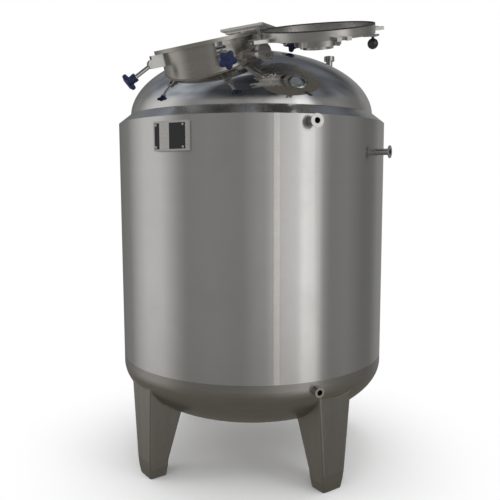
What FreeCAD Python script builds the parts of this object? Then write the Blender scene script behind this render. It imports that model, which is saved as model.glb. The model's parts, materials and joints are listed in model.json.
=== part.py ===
"""Bulk milk tank: vertical insulated vessel on four legs, with a hinged manway lid.

Frame: millimetres, +Z up, origin on the tank axis at floor level. -Y is the front.
An azimuth is in degrees from the front (-Y), positive towards +X.
"""
import FreeCAD
import Part
import math
import os

V = FreeCAD.Vector
ORIGIN = V(0, 0, 0)
UP = V(0, 0, 1)

# ---- overall sizes -----------------------------------------------------------------------
CLAD_R = 575.0            # outside radius of the cladding
CLAD_H = 993.0            # height of the straight cladding wall
LEG_CLEAR = 472.0         # floor to the lower edge of the wall
WALL_GAP = 51.0           # cladding outside to vessel outside
CLAD_T = 2.0              # cladding sheet
VESSEL_T = 4.0            # vessel sheet
TOP_HEAD_H = 279.0        # rise of the top head
BOTTOM_CLAD_H = 282.0     # depth of the bottom cladding
BOTTOM_SKIRT_H = 30.0     # straight part at the top of the bottom cladding
BOTTOM_GAP = 42.0         # bottom cladding to vessel bottom
SHOULDER_H = 38.0         # rise of the sloping shoulder
SHOULDER_GAP = 3.0        # shoulder edge to the head
HEAD_LIFT = 31.6          # top of the wall to the root of the top head
SHEET_GAP = 0.5           # play between the layers
BASE_RING_T = 10.0        # ring that joins the vessel and the bottom cladding

# ---- jacket ------------------------------------------------------------------------------
JACKET_T = 6.0
JACKET_LOW = 65.0         # above the root of the bottom head
JACKET_H = 640.0

# ---- legs --------------------------------------------------------------------------------
LEG_NAMES = ["front_right", "rear_right", "rear_left", "front_left"]
LEG_FIRST_AZ = 35.5
LEG_INSET = 14.0          # cladding outside to the leg's outer face at its top
LEG_LEAN = 4.0            # how far the outer face comes in towards the foot
LEG_TOP_W = 180.0         # section where the leg meets the lower edge of the wall
LEG_TOP_D = 205.0
LEG_LOW_W = 115.0         # section at the top of the foot
LEG_LOW_D = 90.0
LEG_FOLD_R = 9.0          # bend radius of the folded plate
LEG_T = 4.0
FOOT_H = 72.0
FOOT_W = 94.0             # flat underside of the foot
FOOT_D = 74.0

# ---- manway ------------------------------------------------------------------------------
MAN_X = -164.0            # centre of the flange's top face
MAN_Y = -287.0
MAN_STAND = 62.9          # above the head's surface below it
MAN_TILT = 17.0
MAN_TILT_AZ = -41.6
NECK_R = 200.0
NECK_T = 4.0
NECK_L = 330.0            # tube length before it is trimmed to the head
FLANGE_W = 22.0           # flange beyond the neck
FLANGE_T = 14.0

# ---- swing bolts -------------------------------------------------------------------------
BOLT_NAMES = ["left", "front", "right", "rear"]
BOLT_TURN = [-131.0, -51.0, 51.0, 131.0]  # from the hinge, seen from above
BOLT_OPEN = [114.0, 107.0, 110.0, 94.0]
BOLT_PIN_OUT = 24.0       # pin circle beyond the flange
BOLT_PIN_DROP = 44.0      # pin below the flange's top face
BOLT_R = 8.0
BOLT_L = 118.0
EYE_R = 17.0
EYE_W = 18.0
PIN_R = 6.0
RUN_GAP = 0.05            # radial play of a pin in its eye
LUG_T = 8.0
LUG_SIDE_GAP = 1.0
LUG_DEEP = 62.0
WASHER_R = 17.0
WASHER_T = 3.0
HUB_R = 17.0
HUB_L = 22.0
KNOB_R = 35.0
KNOB_T = 20.0
KNOB_LOBES = 5
SCALLOP_R = 12.0
KNOB_BORE_GAP = 0.06
STACK_GAP = 0.3
SEAT_GAP = 0.5            # washer to the ear of the closed lid

# ---- lid ---------------------------------------------------------------------------------
HINGE_AZ = 61.0
HINGE_OUT = 6.0           # hinge pin beyond the flange
HINGE_DROP = 0.0          # hinge pin below the flange's top face
HINGE_PIN_R = 5.0
HINGE_EYE_R = 11.0
HINGE_BLOCK_W = 34.0
HINGE_ARM_T = 8.0
HINGE_RELIEF = 1.5        # play between the arms' eyes and the notches in the flange
LID_OPEN = 188.0
LID_INSET = 18.0          # lid's edge inside the flange's edge
LID_H = 35.0
LID_T = 4.0
LID_SEAT_W = 8.0
GASKET_H = 4.0
GASKET_INSET = 1.0
EAR_W = 50.0
EAR_T = 12.0
EAR_LIP = 16.0            # ear beyond the swing bolts' pin circle
SLOT_PLAY = 1.3           # ear's slot to the bolt, each side
HANDLE_W = 40.0
HANDLE_OUT = 17.0         # handle plate beyond the lid's edge
HANDLE_T = 6.0
BALL_R = 18.5
BALL_STEM_R = 5.0
BALL_STEM_L = 8.0
SIGHT_RIM = 20.0          # sight-glass base beyond the glass
SIGHT_BASE_H = 20.0
SIGHT_OPEN_R = 52.0
GLASS_SEAT = 12.0         # glass beyond its opening
GLASS_T = 12.0
SIGHT_RING_H = 10.0
HOOD_T = 4.0
HOOD_H = 12.0
SIGHT_SCREWS = 8
SIGHT_SCREW_R = 4.0
SIGHT_HEAD_R = 6.5
SIGHT_HEAD_H = 6.0

# ---- pipe connections: one-inch and half-inch clamp unions -------------------------------
FERRULE_R = 25.25
FERRULE_T = 6.4
PIPE_R = 12.7
PIPE_T = 1.65
INLET_AZ = 22.3
INLET_DROP = 27.0         # below the top of the wall
INLET_OUT = 40.0          # beyond the cladding
JACKET_OUT_AZ = 60.0
JACKET_OUT_DROP = 127.0
JACKET_OUT_OUT = 57.0
COUPLING_AZ = 25.0
COUPLING_DROP = 36.0      # below the lower edge of the wall
COUPLING_R = 20.0
COUPLING_BORE_R = 11.0
COUPLING_OUT = 26.0
OUTLET_R = 25.5
OUTLET_FERRULE_R = 32.0
OUTLET_Z = 136.0          # face of the bottom outlet above the floor

# ---- vent on the manway neck -------------------------------------------------------------
VENT_AZ = 40.0
VENT_DROP = 80.0
VENT_R = 19.05
VENT_OUT = 96.0           # joint face beyond the neck
CLAMP_R = 33.0
CLAMP_W = 17.0
CLAMP_TURN = 240.0        # where the clamp's screw sits round the joint
CAP_T = 6.4

# ---- cleaning pipe and agitator mounting --------------------------------------------------
CIP_AZ = 80.0
CIP_R = 339.0             # from the tank axis
CIP_PIPE_R = 14.0
CIP_STAND = 42.7          # above the head's surface below it
CIP_FERRULE_R = 22.0
CIP_DEEP = 260.0
SPRAY_R = 32.0
SPRAY_HOLE_R = 2.0
AGIT_NECK_R = 57.0
AGIT_STAND = 105.4        # top of the blank plate above the top of the head
AGIT_YAW = 36.0
AGIT_L = 224.0
AGIT_W = 152.0
AGIT_T = 10.0
AGIT_PAD_INSET = 16.0
AGIT_BORE_R = 45.0
AGIT_BOLT_R = 6.0
AGIT_BOLT_INSET = 34.0
AGIT_HEAD_R = 10.0
AGIT_HEAD_H = 8.0

# ---- nameplate ---------------------------------------------------------------------------
PLATE_AZ = -30.2
PLATE_W = 150.0
PLATE_H = 108.0
PLATE_TOP_DROP = 22.0
PLATE_STAND = 16.0        # cladding to the back of the bracket's face
PLATE_T = 2.0
PLATE_MARGIN = 7.0
PLATE_SCREW_R = 2.5
SEAM_AZ = 9.0
SEAM_W = 22.0
SEAM_T = 1.2

# ---- levels and radii that follow --------------------------------------------------------
Z_WALL_LOW = LEG_CLEAR
Z_WALL_TOP = LEG_CLEAR + CLAD_H
VESSEL_R = CLAD_R - WALL_GAP
Z_HEAD = Z_WALL_TOP + HEAD_LIFT
BOTTOM_R = CLAD_R
BOTTOM_BOWL_H = BOTTOM_CLAD_H - BOTTOM_SKIRT_H
Z_BOWL = Z_WALL_LOW - BOTTOM_SKIRT_H
VESSEL_BOTTOM_H = BOTTOM_CLAD_H - BOTTOM_GAP
WASHER_AT = BOLT_PIN_DROP + LID_H + SEAT_GAP
FLANGE_R = NECK_R + FLANGE_W
BOLT_PIN_R = FLANGE_R + BOLT_PIN_OUT
BOLT_AZ = [HINGE_AZ + turn for turn in BOLT_TURN]
HINGE_R = FLANGE_R + HINGE_OUT
LID_R = FLANGE_R - LID_INSET
EAR_REACH = BOLT_PIN_R + EAR_LIP
HANDLE_REACH = LID_R + HANDLE_OUT
SLOT_W = 2 * (BOLT_R + SLOT_PLAY)
VENT_FACE = NECK_R + VENT_OUT
GLASS_R = SIGHT_OPEN_R + GLASS_SEAT
SIGHT_R = GLASS_R + SIGHT_RIM
HOOD_R = SIGHT_OPEN_R + HOOD_T


def head_level(distance):
    """Height of the top head's outside at a distance from the tank axis."""
    return Z_HEAD + TOP_HEAD_H * math.sqrt(1 - (distance / VESSEL_R) ** 2)


MAN_Z = head_level(math.hypot(MAN_X, MAN_Y)) + MAN_STAND
CIP_Z = head_level(CIP_R) + CIP_STAND
AGIT_Z = Z_HEAD + TOP_HEAD_H + AGIT_STAND


# ---- helpers -----------------------------------------------------------------------------
def outward(az):
    """Unit vector pointing away from the axis at an azimuth."""
    a = math.radians(az)
    return V(math.sin(a), -math.cos(a), 0)


def turned(shape, az):
    """Copy of a shape built at the front, turned round Z to an azimuth."""
    copy = shape.copy()
    copy.rotate(ORIGIN, UP, az)
    return copy


def cylinder(radius, z_low, z_high, x=0.0, y=0.0):
    return Part.makeCylinder(radius, z_high - z_low, V(x, y, z_low))


def ring(r_out, r_in, z_low, z_high):
    return cylinder(r_out, z_low, z_high).cut(cylinder(r_in, z_low - 1, z_high + 1))


def rod(radius, start, end):
    """Round bar between two points."""
    run = end - start
    return Part.makeCylinder(radius, run.Length, start, run)


def box(x0, x1, y0, y1, z0, z1):
    return Part.makeBox(x1 - x0, y1 - y0, z1 - z0, V(x0, y0, z0))


def head_solid(radius, rise, z_root):
    """Solid half ellipsoid; a negative rise hangs below its root."""
    if abs(rise) < radius:
        curve = Part.Ellipse(V(radius, 0, z_root), V(0, 0, z_root + rise), V(0, 0, z_root))
    else:
        raise ValueError("a head is wider than it is deep")
    arc = Part.Arc(curve, 0, math.pi / 2).toShape()
    tip = V(0, 0, z_root + rise)
    root = V(0, 0, z_root)
    edges = [arc, Part.makeLine(tip, root), Part.makeLine(root, V(radius, 0, z_root))]
    face = Part.Face(Part.Wire(Part.__sortEdges__(edges)))
    return face.revolve(ORIGIN, UP, 360)


def polygon_prism(points, direction):
    face = Part.Face(Part.makePolygon(points + [points[0]]))
    return face.extrude(direction)


def ferrule(r_bore, r_tube, r_out, length):
    """Tube along +Z whose end at z = 0 carries a clamp flange with a sloping back."""
    slope = 3.0
    tube = cylinder(r_tube, -length, -FERRULE_T)
    flange = cylinder(r_out, -FERRULE_T + slope, 0)
    back = Part.makeCone(r_tube, r_out, slope, V(0, 0, -FERRULE_T))
    body = tube.fuse([back, flange])
    return body.cut(cylinder(r_bore, -length - 1, 1))


def aim(shape, place, direction):
    """Move a shape built along +Z so that it points along a direction from a place."""
    copy = shape.copy()
    turn = FreeCAD.Placement(place, FreeCAD.Rotation(UP, direction))
    copy.Placement = turn.multiply(copy.Placement)
    return copy


# ---- frame of the manway -----------------------------------------------------------------
tilt = math.radians(MAN_TILT)
MAN_AXIS = outward(MAN_TILT_AZ) * math.sin(tilt) + UP * math.cos(tilt)
MAN_CENTRE = V(MAN_X, MAN_Y, MAN_Z)
MAN_PLACE = FreeCAD.Placement(MAN_CENTRE, FreeCAD.Rotation(UP, MAN_AXIS))


def on_manway(shape):
    """Carry a shape from the manway's own frame (flange face at z = 0) to the tank."""
    copy = shape.copy()
    copy.Placement = MAN_PLACE.multiply(copy.Placement)
    return copy


def lid_opened(shape):
    """Swing a lid piece, built closed, to where the open lid rests."""
    copy = shape.copy()
    pin = outward(HINGE_AZ) * HINGE_R + V(0, 0, -HINGE_DROP)
    across = UP.cross(outward(HINGE_AZ))
    copy.rotate(pin, across, LID_OPEN)
    return on_manway(copy)


def bolt_opened(shape, index):
    """Swing a bolt piece, built upright at the front, out on its pin and round to its place."""
    copy = shape.copy()
    copy.rotate(V(0, -BOLT_PIN_R, -BOLT_PIN_DROP), V(1, 0, 0), BOLT_OPEN[index])
    return on_manway(turned(copy, BOLT_AZ[index]))


# ---- vessel and cladding -----------------------------------------------------------------
outer_head = head_solid(VESSEL_R, TOP_HEAD_H, Z_HEAD)


def bottom_solid(inset):
    """Solid in the shape of the bottom cladding, drawn in all round by an inset."""
    bowl = head_solid(BOTTOM_R - inset, -BOTTOM_BOWL_H + inset, Z_BOWL)
    return bowl.fuse(cylinder(BOTTOM_R - inset, Z_BOWL, Z_WALL_LOW)).removeSplitter()


bottom_body = bottom_solid(0.0)


def cip_centre(z):
    return outward(CIP_AZ) * CIP_R + V(0, 0, z)


def inlet_place(reach):
    return outward(INLET_AZ) * (CLAD_R + reach) + V(0, 0, Z_WALL_TOP - INLET_DROP)


def jacket_out_place(reach):
    return outward(JACKET_OUT_AZ) * (CLAD_R + reach) + V(0, 0, Z_WALL_TOP - JACKET_OUT_DROP)


def coupling_direction():
    """Square to the bottom cladding at the coupling."""
    drop = COUPLING_DROP - BOTTOM_SKIRT_H
    r_here = BOTTOM_R * math.sqrt(1 - (drop / BOTTOM_BOWL_H) ** 2)
    across = r_here / BOTTOM_R ** 2
    down = drop / BOTTOM_BOWL_H ** 2
    return (outward(COUPLING_AZ) * across - UP * down).normalize(), r_here


def make_vessel():
    hole_manway = on_manway(cylinder(NECK_R - NECK_T, -NECK_L, 10))
    hole_cip = rod(CIP_PIPE_R, cip_centre(Z_HEAD), cip_centre(Z_HEAD + TOP_HEAD_H))
    hole_agitator = cylinder(AGIT_BORE_R, Z_HEAD, Z_HEAD + TOP_HEAD_H + 1)
    inner = head_solid(VESSEL_R - VESSEL_T, TOP_HEAD_H - VESSEL_T, Z_HEAD)
    top = outer_head.cut(inner).cut(hole_manway).cut(hole_cip).cut(hole_agitator)

    hole_inlet = rod(PIPE_R, inlet_place(0), inlet_place(-CLAD_R / 2))
    shell = ring(VESSEL_R, VESSEL_R - VESSEL_T, Z_WALL_LOW, Z_HEAD).cut(hole_inlet)

    outer = head_solid(VESSEL_R, -VESSEL_BOTTOM_H, Z_WALL_LOW)
    hollow = head_solid(VESSEL_R - VESSEL_T, -VESSEL_BOTTOM_H + VESSEL_T, Z_WALL_LOW)
    hole_outlet = cylinder(OUTLET_R, 0, Z_WALL_LOW)
    bottom = outer.cut(hollow).cut(hole_outlet)
    return {"top_head": top, "inner_shell": shell, "bottom_head": bottom}


def make_layers():
    jacket_r = VESSEL_R + SHEET_GAP
    jacket_low = Z_WALL_LOW + JACKET_LOW
    jacket = ring(jacket_r + JACKET_T, jacket_r, jacket_low, jacket_low + JACKET_H)
    wool_in = jacket_r + JACKET_T + SHEET_GAP
    wool = ring(CLAD_R - CLAD_T - SHEET_GAP, wool_in, Z_WALL_LOW + SHEET_GAP, Z_WALL_TOP - 1)
    passages = [rod(PIPE_R + SHEET_GAP, inlet_place(10), inlet_place(-CLAD_R / 2)),
                rod(PIPE_R + SHEET_GAP, jacket_out_place(10), jacket_out_place(-CLAD_R / 2))]
    wool = wool.cut(Part.makeCompound(passages))

    outer = bottom_solid(CLAD_T + SHEET_GAP)
    inner = head_solid(VESSEL_R + SHEET_GAP, -VESSEL_BOTTOM_H - SHEET_GAP, Z_WALL_LOW)
    slab_top = cylinder(CLAD_R, Z_WALL_LOW - BASE_RING_T - SHEET_GAP, Z_WALL_LOW + 1)
    direction, r_here = coupling_direction()
    spot = outward(COUPLING_AZ) * r_here + V(0, 0, Z_WALL_LOW - COUPLING_DROP)
    passage = rod(COUPLING_R + SHEET_GAP, spot + direction * 5, spot - direction * 60)
    hole_outlet = cylinder(OUTLET_R + SHEET_GAP, 0, Z_WALL_LOW)
    floor_wool = outer.cut(inner).cut(slab_top).cut(hole_outlet).cut(passage)
    return {"cooling_jacket": jacket, "wall_insulation": wool, "bottom_insulation": floor_wool}


def make_cladding():
    wall = ring(CLAD_R, CLAD_R - CLAD_T, Z_WALL_LOW, Z_WALL_TOP)
    holes = [rod(PIPE_R + SHEET_GAP, inlet_place(5), inlet_place(-60)),
             rod(PIPE_R + SHEET_GAP, jacket_out_place(5), jacket_out_place(-60))]
    wall = wall.cut(Part.makeCompound(holes))

    edge_r = VESSEL_R + SHOULDER_GAP
    profile = [V(CLAD_R, 0, Z_WALL_TOP), V(edge_r, 0, Z_WALL_TOP + SHOULDER_H),
               V(edge_r, 0, Z_WALL_TOP + SHOULDER_H - CLAD_T),
               V(CLAD_R - CLAD_T, 0, Z_WALL_TOP)]
    face = Part.Face(Part.makePolygon(profile + [profile[0]]))
    shoulder = face.revolve(ORIGIN, UP, 360)

    inner = bottom_solid(CLAD_T)
    direction, r_here = coupling_direction()
    spot = outward(COUPLING_AZ) * r_here + V(0, 0, Z_WALL_LOW - COUPLING_DROP)
    hole_coupling = rod(COUPLING_R, spot + direction * 20, spot - direction * 20)
    dish = bottom_body.cut(inner).cut(cylinder(OUTLET_R + SHEET_GAP, 0, Z_WALL_LOW))
    dish = dish.cut(hole_coupling)

    strip_ring = ring(CLAD_R + SEAM_T, CLAD_R, Z_WALL_LOW, Z_WALL_TOP)
    window = turned(box(-SEAM_W / 2, SEAM_W / 2, -CLAD_R - 10, -CLAD_R / 2, 0, 3000), SEAM_AZ)
    strip = strip_ring.common(window)

    base = ring(BOTTOM_R - CLAD_T - SHEET_GAP, VESSEL_R + 1, Z_WALL_LOW - BASE_RING_T, Z_WALL_LOW)
    return {"cladding_wall": wall, "cladding_shoulder": shoulder, "cladding_bottom": dish,
            "cladding_seam_strip": strip, "base_ring": base}


# ---- legs and feet -----------------------------------------------------------------------
def leg_outline(width, depth, outer_r, z):
    """Rectangle with rounded folds whose outer side stands at a radius, at the front."""
    r = LEG_FOLD_R
    half = width / 2
    y0 = -outer_r
    y1 = -outer_r + depth
    s = r * (1 - math.sqrt(0.5))
    edges = [Part.makeLine(V(-half + r, y0, z), V(half - r, y0, z)),
             Part.Arc(V(half - r, y0, z), V(half - s, y0 + s, z), V(half, y0 + r, z)).toShape(),
             Part.makeLine(V(half, y0 + r, z), V(half, y1 - r, z)),
             Part.Arc(V(half, y1 - r, z), V(half - s, y1 - s, z), V(half - r, y1, z)).toShape(),
             Part.makeLine(V(half - r, y1, z), V(-half + r, y1, z)),
             Part.Arc(V(-half + r, y1, z), V(-half + s, y1 - s, z), V(-half, y1 - r, z)).toShape(),
             Part.makeLine(V(-half, y1 - r, z), V(-half, y0 + r, z)),
             Part.Arc(V(-half, y0 + r, z), V(-half + s, y0 + s, z), V(-half + r, y0, z)).toShape()]
    return Part.Wire(edges)


def leg_block(shrink):
    top_r = CLAD_R - LEG_INSET - shrink
    low_r = top_r - LEG_LEAN
    return Part.makeLoft([leg_outline(LEG_LOW_W - 2 * shrink, LEG_LOW_D - 2 * shrink, low_r, FOOT_H),
                          leg_outline(LEG_TOP_W - 2 * shrink, LEG_TOP_D - 2 * shrink, top_r,
                                      Z_WALL_LOW)], True, True)


def make_leg():
    tube = leg_block(0.0).cut(leg_block(LEG_T)).cut(bottom_body)
    return max(tube.Solids, key=lambda solid: solid.Volume)


def make_foot():
    """Cast foot that closes the leg and narrows to its underside."""
    outer_r = CLAD_R - LEG_INSET - LEG_LEAN
    centre_r = outer_r - LEG_LOW_D / 2
    levels = [(1.0, 0.0), (0.72, FOOT_H * 0.2), (0.3, FOOT_H * 0.55), (0.0, FOOT_H)]
    foot = None
    for low, high in zip(levels[:-1], levels[1:]):
        outlines = []
        for share, z in (low, high):
            width = LEG_LOW_W + (FOOT_W - LEG_LOW_W) * share
            depth = LEG_LOW_D + (FOOT_D - LEG_LOW_D) * share
            outlines.append(leg_outline(width, depth, centre_r + depth / 2, z))
        piece = Part.makeLoft(outlines, True, True)
        foot = piece if foot is None else foot.fuse(piece)
    return foot


def make_legs():
    leg = make_leg()
    foot = make_foot()
    nodes = {}
    feet = []
    for index, name in enumerate(LEG_NAMES):
        az = LEG_FIRST_AZ + 90.0 * index
        nodes["leg_" + name] = turned(leg, az)
        feet.append(turned(foot, az))
    nodes["feet"] = Part.makeCompound(feet)
    return nodes


# ---- pipe connections --------------------------------------------------------------------
def make_nozzles():
    direction = outward(INLET_AZ)
    length = INLET_OUT + WALL_GAP
    inlet = aim(ferrule(PIPE_R - PIPE_T, PIPE_R, FERRULE_R, length), inlet_place(INLET_OUT),
                direction)
    direction = outward(JACKET_OUT_AZ)
    length = JACKET_OUT_OUT + WALL_GAP - JACKET_T - SHEET_GAP
    jacket_out = aim(ferrule(PIPE_R - PIPE_T, PIPE_R, FERRULE_R, length),
                     jacket_out_place(JACKET_OUT_OUT), direction)

    direction, r_here = coupling_direction()
    spot = outward(COUPLING_AZ) * r_here + V(0, 0, Z_WALL_LOW - COUPLING_DROP)
    coupling = rod(COUPLING_R, spot - direction * 14, spot + direction * COUPLING_OUT)
    coupling = coupling.cut(rod(COUPLING_BORE_R, spot - direction * 15,
                                spot + direction * (COUPLING_OUT + 1)))

    top = Z_WALL_LOW - VESSEL_BOTTOM_H + VESSEL_T / 2
    outlet = ferrule(OUTLET_R - PIPE_T, OUTLET_R, OUTLET_FERRULE_R, top - OUTLET_Z)
    outlet = aim(outlet, V(0, 0, OUTLET_Z), V(0, 0, -1))
    outlet = outlet.cut(head_solid(VESSEL_R - VESSEL_T, -VESSEL_BOTTOM_H + VESSEL_T, Z_WALL_LOW))
    return {"side_inlet_nozzle": inlet, "jacket_outlet_nozzle": jacket_out,
            "jacket_inlet_coupling": coupling, "bottom_outlet_nozzle": outlet}


def make_cleaning():
    top = CIP_Z
    nozzle = cylinder(CIP_PIPE_R, top - CIP_DEEP, top - FERRULE_T)
    nozzle = nozzle.fuse(cylinder(CIP_FERRULE_R, top - FERRULE_T * 3, top))
    nozzle = nozzle.cut(cylinder(CIP_PIPE_R - PIPE_T, top - CIP_DEEP - 1, top + 1))
    spray_z = top - CIP_DEEP - SPRAY_R + 4
    ball = Part.makeSphere(SPRAY_R, V(0, 0, spray_z))
    ball = ball.cut(Part.makeSphere(SPRAY_R - PIPE_T, V(0, 0, spray_z)))
    ball = ball.cut(cylinder(CIP_PIPE_R, spray_z, top))
    drills = []
    for level in (-30, 0, 30):
        for step in range(6):
            a = math.radians(60 * step + level)
            lift = math.radians(level)
            aim_at = V(math.cos(a) * math.cos(lift), math.sin(a) * math.cos(lift), math.sin(lift))
            centre = V(0, 0, spray_z)
            drills.append(rod(SPRAY_HOLE_R, centre + aim_at * 20, centre + aim_at * 40))
    ball = ball.cut(Part.makeCompound(drills))
    at = outward(CIP_AZ) * CIP_R
    nozzle.translate(at)
    ball.translate(at)
    return {"cleaning_pipe": nozzle, "spray_ball": ball}


def make_agitator_mount():
    top = AGIT_Z
    split = top - AGIT_T
    low = split - AGIT_T
    neck = cylinder(AGIT_NECK_R, Z_HEAD, low).cut(cylinder(AGIT_BORE_R, 0, top))
    neck = neck.cut(outer_head)

    def plate(inset, z_low):
        half_l = AGIT_L / 2 - inset
        half_w = AGIT_W / 2 - inset
        return box(-half_l, half_l, -half_w, half_w, z_low, z_low + AGIT_T)

    places = []
    for sx in (-1, 1):
        for sy in (-1, 1):
            places.append((sx * (AGIT_L / 2 - AGIT_BOLT_INSET), sy * (AGIT_W / 2 - AGIT_BOLT_INSET)))
    holes = Part.makeCompound([cylinder(AGIT_BOLT_R, low - 1, top + 1, x, y) for x, y in places])
    pad = plate(AGIT_PAD_INSET, low).cut(cylinder(AGIT_BORE_R, 0, top)).cut(holes)
    blank = plate(0.0, split).cut(holes)
    bolts = []
    for x, y in places:
        shank = cylinder(AGIT_BOLT_R, low - AGIT_HEAD_H, top, x, y)
        head = cylinder(AGIT_HEAD_R, top, top + AGIT_HEAD_H, x, y)
        nut = cylinder(AGIT_HEAD_R, low - AGIT_HEAD_H, low, x, y)
        bolts.append(shank.fuse([head, nut]))
    nodes = {"agitator_pad": pad, "agitator_blank_plate": blank,
             "agitator_blank_bolts": Part.makeCompound(bolts)}
    for name in nodes:
        nodes[name].rotate(ORIGIN, UP, -AGIT_YAW)
    nodes["agitator_neck"] = neck
    return nodes


# ---- manway ------------------------------------------------------------------------------
def hinge_notches():
    """Room in the flange's edge for the eyes of the two hinge arms, at the front."""
    inner_x = HINGE_BLOCK_W / 2 + LUG_SIDE_GAP / 2
    width = HINGE_ARM_T + LUG_SIDE_GAP
    notches = []
    for x in (inner_x, -inner_x - width):
        start = V(x, -HINGE_R, -HINGE_DROP)
        notches.append(rod(HINGE_EYE_R + HINGE_RELIEF, start, start + V(width, 0, 0)))
    return Part.makeCompound(notches)


def make_manway():
    tube = on_manway(ring(NECK_R, NECK_R - NECK_T, -NECK_L, 0))
    vent_hole = rod(VENT_R, V(0, -NECK_R + 20, -VENT_DROP), V(0, -NECK_R - 10, -VENT_DROP))
    neck = tube.cut(outer_head).cut(on_manway(turned(vent_hole, VENT_AZ)))
    neck = max(neck.Solids, key=lambda solid: solid.CenterOfMass.z)
    flange = ring(FLANGE_R, NECK_R, -FLANGE_T, 0).cut(turned(hinge_notches(), HINGE_AZ))
    flange = on_manway(flange)
    return {"manway_neck": neck, "manway_flange": flange}


def lug_cheek(side):
    """One cheek of a swing bolt's lug, at the front of the neck."""
    inner_x = EYE_W / 2 + LUG_SIDE_GAP
    low = -BOLT_PIN_DROP - EYE_R
    x = inner_x if side > 0 else -inner_x - LUG_T
    plate = box(x, x + LUG_T, -BOLT_PIN_R, -NECK_R + 2, low, -FLANGE_T)
    nose = rod(EYE_R, V(x, -BOLT_PIN_R, -BOLT_PIN_DROP), V(x + LUG_T, -BOLT_PIN_R, -BOLT_PIN_DROP))
    above = box(x, x + LUG_T, -BOLT_PIN_R, -NECK_R, -BOLT_PIN_DROP, -FLANGE_T)
    cheek = plate.fuse([nose, above])
    hole = rod(PIN_R, V(x - 1, -BOLT_PIN_R, -BOLT_PIN_DROP),
               V(x + LUG_T + 1, -BOLT_PIN_R, -BOLT_PIN_DROP))
    return cheek.cut(hole).cut(cylinder(NECK_R, -200, 10))


def make_lugs():
    reach = EYE_W / 2 + LUG_SIDE_GAP + LUG_T
    cheeks = []
    pins = []
    for az in BOLT_AZ:
        for side in (-1, 1):
            cheeks.append(on_manway(turned(lug_cheek(side), az)))
        pin = rod(PIN_R, V(-reach - 2, -BOLT_PIN_R, -BOLT_PIN_DROP),
                  V(reach + 2, -BOLT_PIN_R, -BOLT_PIN_DROP))
        pins.append(on_manway(turned(pin, az)))
    return {"swing_bolt_lugs": Part.makeCompound(cheeks), "swing_bolt_pins": Part.makeCompound(pins)}


def make_swing_bolt():
    """Eye bolt, washer and star knob, upright at the front of the manway."""
    centre = V(0, -BOLT_PIN_R, -BOLT_PIN_DROP)
    eye = rod(EYE_R, centre - V(EYE_W / 2, 0, 0), centre + V(EYE_W / 2, 0, 0))
    shank = rod(BOLT_R, centre, centre + UP * BOLT_L)
    bore = rod(PIN_R + RUN_GAP, centre - V(EYE_W, 0, 0), centre + V(EYE_W, 0, 0))
    bolt = eye.fuse(shank).cut(bore)

    def ring_at(r_out, low, high):
        outer = rod(r_out, centre + UP * low, centre + UP * high)
        return outer

    bore_r = BOLT_R + KNOB_BORE_GAP
    washer = ring_at(WASHER_R, WASHER_AT, WASHER_AT + WASHER_T)
    washer = washer.cut(ring_at(bore_r, 0, BOLT_L))
    hub_low = WASHER_AT + WASHER_T + STACK_GAP
    disc_low = hub_low + HUB_L
    disc = ring_at(KNOB_R, disc_low, disc_low + KNOB_T)
    scallops = []
    for step in range(KNOB_LOBES):
        a = 2 * math.pi * (step + 0.5) / KNOB_LOBES
        spot = centre + V(math.cos(a), math.sin(a), 0) * (KNOB_R + SCALLOP_R * 0.45)
        scallops.append(rod(SCALLOP_R, spot + UP * (disc_low - 1), spot + UP * (disc_low + KNOB_T + 1)))
    disc = disc.cut(Part.makeCompound(scallops))
    knob = disc.fuse(ring_at(HUB_R, hub_low, disc_low)).cut(ring_at(bore_r, 0, disc_low + KNOB_T - 5))
    return bolt, washer, knob


def make_swing_bolts():
    bolt, washer, knob = make_swing_bolt()
    nodes = {}
    for index, name in enumerate(BOLT_NAMES):
        nodes["swing_bolt_" + name] = bolt_opened(bolt, index)
        nodes["bolt_washer_" + name] = bolt_opened(washer, index)
        nodes["star_knob_" + name] = bolt_opened(knob, index)
    return nodes


def make_vent():
    axis_start = V(0, -VENT_FACE, -VENT_DROP)
    direction = V(0, -1, 0)
    tube_l = VENT_FACE - NECK_R + NECK_T
    nozzle = aim(ferrule(VENT_R - PIPE_T, VENT_R, FERRULE_R, tube_l), axis_start, direction)
    nozzle = nozzle.cut(cylinder(NECK_R - NECK_T, -200, 10))
    cap = cylinder(FERRULE_R, 0.5, CAP_T)
    cap = cap.cut(cylinder(VENT_R - 2, CAP_T - 3, CAP_T + 1))
    cap = aim(cap, axis_start, direction)
    half = CLAMP_W / 2
    clamp = ring(CLAMP_R, FERRULE_R + 0.3, -half, half)
    ear = box(-8, 8, CLAMP_R - 3, CLAMP_R + 12, -half + 2, half - 2)
    wing = box(-16, -8, CLAMP_R + 1, CLAMP_R + 11, -5, 5)
    clamp = clamp.fuse([ear, wing])
    clamp.rotate(ORIGIN, UP, CLAMP_TURN)
    clamp = aim(clamp, axis_start, direction)
    nodes = {"vent_nozzle": nozzle, "vent_cap": cap, "vent_clamp": clamp}
    return {name: on_manway(turned(shape, VENT_AZ)) for name, shape in nodes.items()}


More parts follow.
